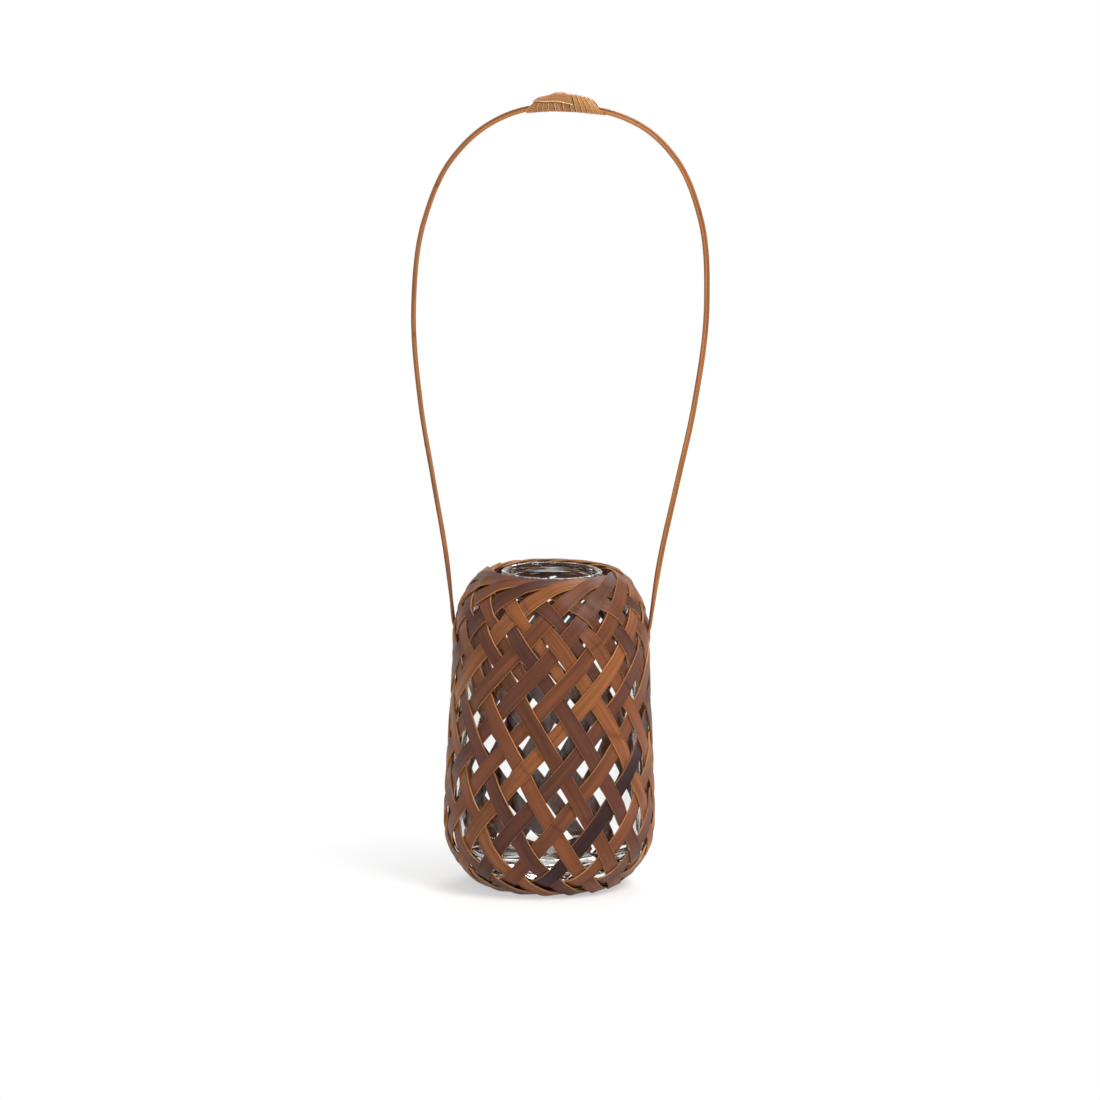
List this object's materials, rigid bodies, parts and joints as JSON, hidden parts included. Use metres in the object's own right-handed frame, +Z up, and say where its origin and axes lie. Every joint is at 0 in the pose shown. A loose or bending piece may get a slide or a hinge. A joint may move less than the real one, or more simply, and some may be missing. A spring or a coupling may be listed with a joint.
{
  "type": "vase",
  "caption": "Glass jar held in a body of diagonally woven split-bamboo strips, with a tall thin looped bamboo handle and a small cane-wound hand grip; holds cut flowers",
  "frame": {"origin": "middle of the overall box, on the floor under the woven base", "axes": "+Z up; the handle's arch spreads along X, turned a few degrees so that its +X side comes towards -Y; the vase is seen from -Y"},
  "size_m": [0.1119, 0.0802, 0.3018],
  "materials": {
    "bamboo": "satin, stained and waxed split bamboo with fine lengthwise grain",
    "dark_bamboo": "satin, nearly black split bamboo with red-brown streaks",
    "clear_glass": "clear, polished, thick rippled base",
    "bamboo_rod": "satin round bamboo rod",
    "grip_padding": "matt, dark padding under the winding",
    "cane": "satin split cane with pale edges"
  },
  "bodies": {
    "root": {"strip_01": "bamboo", "strip_02": "bamboo", "strip_03": "bamboo", "strip_04": "bamboo", "strip_05": "bamboo", "strip_06": "bamboo", "strip_07": "bamboo", "strip_08": "bamboo", "strip_09": "bamboo", "strip_10": "bamboo", "strip_11": "bamboo", "strip_12": "bamboo", "strip_13": "bamboo", "strip_14": "dark_bamboo", "strip_15": "bamboo", "strip_16": "bamboo", "glass_jar": "clear_glass", "handle_rod_front": "bamboo_rod", "handle_rod_back": "bamboo_rod", "grip_core": "grip_padding", "grip_winding": "cane", "grip_saddle": "cane"}
  },
  "joints": []
}
